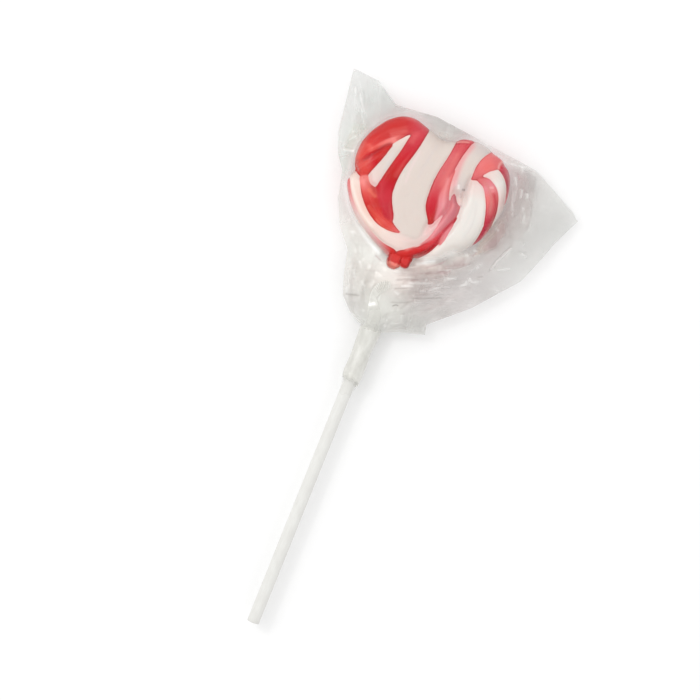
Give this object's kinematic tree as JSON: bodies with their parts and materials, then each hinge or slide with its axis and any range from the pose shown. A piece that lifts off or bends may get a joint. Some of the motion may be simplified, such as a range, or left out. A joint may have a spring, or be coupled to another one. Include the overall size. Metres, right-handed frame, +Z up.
{
  "type": "heart lollipop",
  "caption": "Heart-shaped swirl lollipop of striped boiled sugar rope on a round stick, lying flat in a clear film bag gathered at the neck and taped to the stick",
  "frame": {"origin": "middle of the whole lollipop's length and width, on the surface that it lies on", "axes": "+Y from the stick's foot to the heart, +Z up through the shown face, +X to the heart's right seen from above with the stick towards the viewer"},
  "size_m": [0.085, 0.1763, 0.0136],
  "materials": {
    "candy": "glossy red, pink and white striped sugar",
    "film": "clear crinkled film",
    "tape": "clear tape wound in layers, slightly milky",
    "stick": "smooth white rolled paper"
  },
  "bodies": {
    "root": {"candy_heart": "candy", "film_bag": "film", "neck_tape": "tape", "stick": "stick"}
  },
  "joints": []
}
